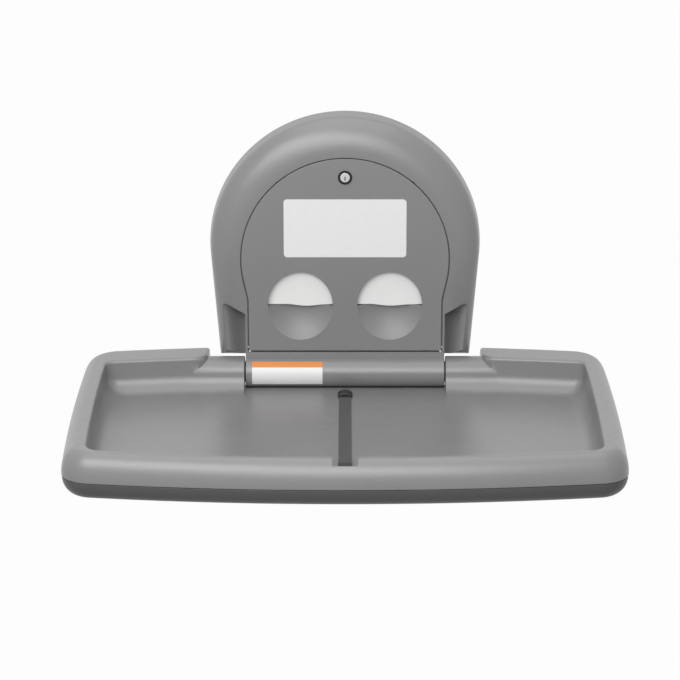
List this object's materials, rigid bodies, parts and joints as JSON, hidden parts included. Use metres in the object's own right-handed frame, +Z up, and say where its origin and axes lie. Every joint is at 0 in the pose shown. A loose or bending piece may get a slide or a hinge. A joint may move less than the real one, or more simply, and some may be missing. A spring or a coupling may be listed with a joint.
{
  "type": "baby_changing_station",
  "caption": "Wall-mounted fold-down baby changing station in grey moulded plastic: arched wall body with a lockable liner dispenser door, hinged bed tray with a safety strap",
  "frame": {"origin": "on the wall, on the centre line of the station, at the height of the bed's hinge axis", "axes": "+X across the station to the right as seen from the front, +Y into the wall, +Z up; the bed reaches out along -Y"},
  "size_m": [0.91, 0.594, 0.497],
  "materials": {
    "grey_shell": "satin grey moulded polyethylene with a fine grain",
    "grey_pan": "satin grey moulded polyethylene, a shade darker",
    "steel": "zinc plated or bright steel",
    "white_nylon": "plain white nylon",
    "strap_web": "dark grey woven webbing",
    "dark_plastic": "dark grey moulded plastic",
    "paper": "folded white paper liners",
    "white_label": "bare white vinyl label",
    "black_paint": "black painted cylinder"
  },
  "bodies": {
    "wall_unit": {"wall_body": "grey_shell", "wall_plate": "steel", "hinge_bush_left": "white_nylon", "hinge_bush_right": "white_nylon", "body_screw_1_left": "steel", "body_screw_1_right": "steel", "body_screw_2_left": "steel", "body_screw_2_right": "steel", "door_pin_left": "white_nylon", "door_pin_right": "white_nylon", "barrel_label": "white_label", "liner_bin": "grey_pan", "bin_screw_left": "steel", "bin_screw_right": "steel", "liner_pack_left": "paper", "liner_pack_right": "paper", "gas_cylinder": "black_paint", "gas_bracket": "steel", "gas_pin": "steel"},
    "bed": {"bed_top": "grey_shell", "bed_pan": "grey_pan", "bed_screw_1": "steel", "bed_screw_2": "steel", "bed_screw_3": "steel", "bed_screw_4": "steel", "bed_screw_5": "steel", "bed_screw_6": "steel", "bed_screw_7": "steel", "bed_screw_8": "steel", "hinge_shaft": "steel", "hinge_arm_left": "steel", "hinge_arm_right": "steel", "shaft_pin_left": "steel", "shaft_pin_right": "steel", "thrust_washer_left": "white_nylon", "thrust_washer_right": "white_nylon", "arm_bolt_1_left": "steel", "arm_bolt_1_right": "steel", "arm_bolt_2_left": "steel", "arm_bolt_2_right": "steel", "strap": "strap_web", "strap_hood": "dark_plastic", "strap_plate": "steel", "strap_screw_left": "steel", "strap_screw_right": "steel", "strap_bar": "steel", "crank_lever": "steel", "crank_pin": "steel"},
    "door": {"dispenser_door": "grey_shell", "door_label": "white_label", "lock_housing": "steel", "lock_nut": "steel"},
    "lock_core": {"lock_plug": "steel", "lock_cam": "steel", "cam_screw": "steel"},
    "gas_piston": {"gas_rod": "steel", "rod_yoke": "steel"},
    "buckle": {"buckle_frame": "dark_plastic", "buckle_pin": "steel"},
    "buckle_cam": {"buckle_lever": "dark_plastic"}
  },
  "joints": [
    {"name": "bed_fold", "type": "hinge", "parent": "wall_unit", "child": "bed", "pos_m": [0, -0.052, 0], "axis": [1, 0, 0], "range_deg": [-88, 0]},
    {"name": "door_hinge", "type": "hinge", "parent": "wall_unit", "child": "door", "pos_m": [0, -0.055, 0.046], "axis": [1, 0, 0], "range_deg": [0, 90]},
    {"name": "lock_turn", "type": "hinge", "parent": "door", "child": "lock_core", "pos_m": [0, -0.06, 0.3505], "axis": [0, 1, 0], "range_deg": [-90, 0]},
    {"name": "buckle_slide", "type": "slide", "parent": "bed", "child": "buckle", "axis": [0, 1, 0], "range_m": [0, 0.03]},
    {"name": "buckle_lever_turn", "type": "hinge", "parent": "buckle", "child": "buckle_cam", "pos_m": [0, -0.511, -0.0127], "axis": [1, 0, 0], "range_deg": [0, 80]},
    {"name": "gas_rod_slide", "type": "slide", "parent": "wall_unit", "child": "gas_piston", "axis": [0, 0, 1], "range_m": [-0.03, 0]}
  ],
  "couplings": [
    {"joint": "gas_rod_slide", "follows": "bed_fold", "m_per_rad": 0.018091}
  ]
}
